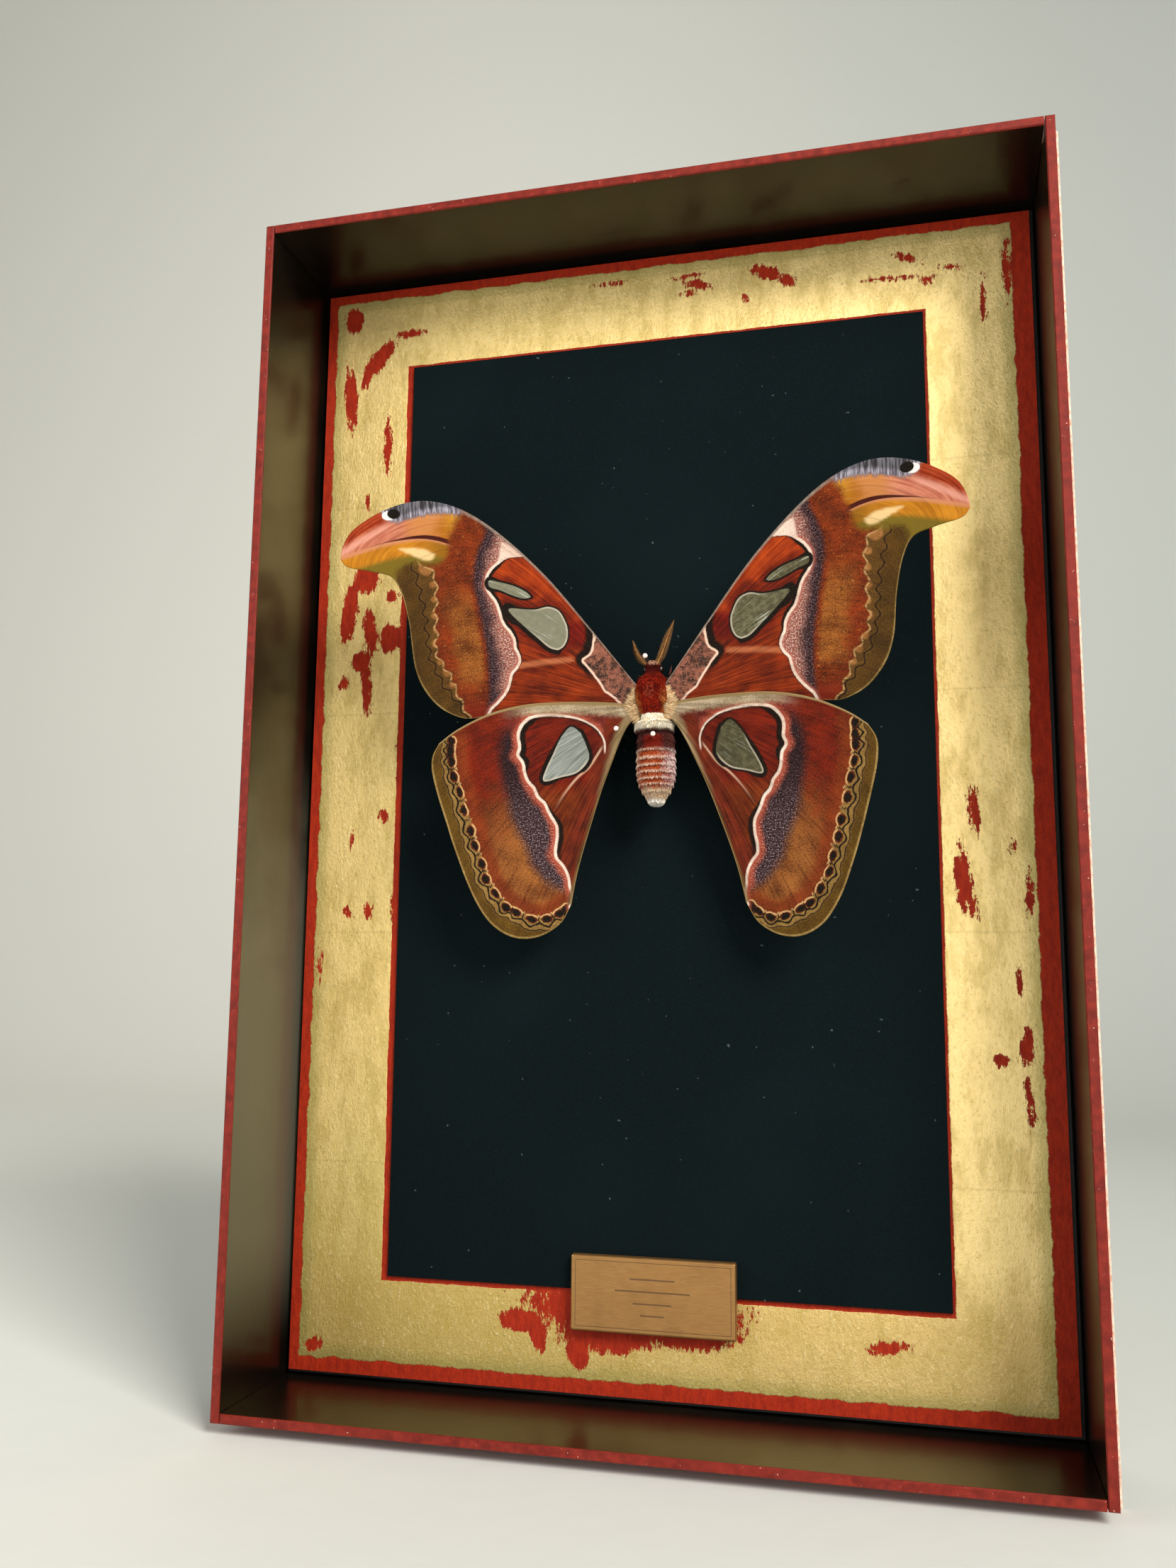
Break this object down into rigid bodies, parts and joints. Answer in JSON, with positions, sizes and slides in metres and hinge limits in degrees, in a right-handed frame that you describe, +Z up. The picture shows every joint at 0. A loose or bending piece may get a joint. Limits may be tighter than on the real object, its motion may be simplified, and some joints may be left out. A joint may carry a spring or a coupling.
{
  "type": "mounted atlas moth in a display case",
  "caption": "Large moth with spread wings, combed antennae and a ringed furry body, set on fine pins over a black card with a gilded margin in a shallow open case.",
  "frame": {"origin": "centre of the case's footprint, on the surface that its bottom stands on", "axes": "+Z up along the case and the moth's body, +X to the right of someone facing the open front, and the open front faces -Y"},
  "size_m": [0.2746, 0.0536, 0.416],
  "materials": {
    "lacquered_tray": "thin board, black lacquer inside, brick red paint with small chips on the front edges",
    "sleeve_board": "thin board covered in matt black, pale raw front edge",
    "gilded_board": "board painted oxide red, with a worn band of gold leaf",
    "black_card": "matt blue-black card",
    "brass_plate": "brushed brass plate with a bevelled edge and engraved rules",
    "red_fur": "deep red short fur",
    "cream_fur": "cream-white fur",
    "banded_fur": "red-brown fur with cream bands",
    "compound_eye": "dark glossy compound eye",
    "antenna_comb": "golden-brown chitin combs",
    "wing_scales": "matt wing scales in red-brown, pink, cream and ochre, with clear windows",
    "leg_scales": "short red-brown scales",
    "pin_steel": "fine steel pins with pale heads",
    "cork": "dark stained cork"
  },
  "bodies": {
    "root": {"tray_left": "lacquered_tray", "tray_right": "lacquered_tray", "tray_bottom": "lacquered_tray", "tray_top": "lacquered_tray", "sleeve_left": "sleeve_board", "sleeve_right": "sleeve_board", "sleeve_bottom": "sleeve_board", "sleeve_top": "sleeve_board", "tray_back": "sleeve_board", "sleeve_back": "sleeve_board", "mount_board": "gilded_board", "black_card": "black_card", "plaque": "brass_plate", "thorax": "red_fur", "head": "red_fur", "collar": "cream_fur", "abdomen": "banded_fur", "eye_left": "compound_eye", "eye_right": "compound_eye", "antenna_left": "antenna_comb", "antenna_right": "antenna_comb", "forewing_left": "wing_scales", "forewing_right": "wing_scales", "hindwing_left": "wing_scales", "hindwing_right": "wing_scales", "pin_head": "pin_steel", "pin_abdomen": "pin_steel", "pin_hindwing": "pin_steel", "pin_hindwing_shaft": "pin_steel", "support_post": "cork", "foreleg_left": "leg_scales", "foreleg_right": "leg_scales", "midleg_left": "leg_scales", "midleg_right": "leg_scales", "hindleg_left": "leg_scales", "hindleg_right": "leg_scales"}
  },
  "joints": []
}
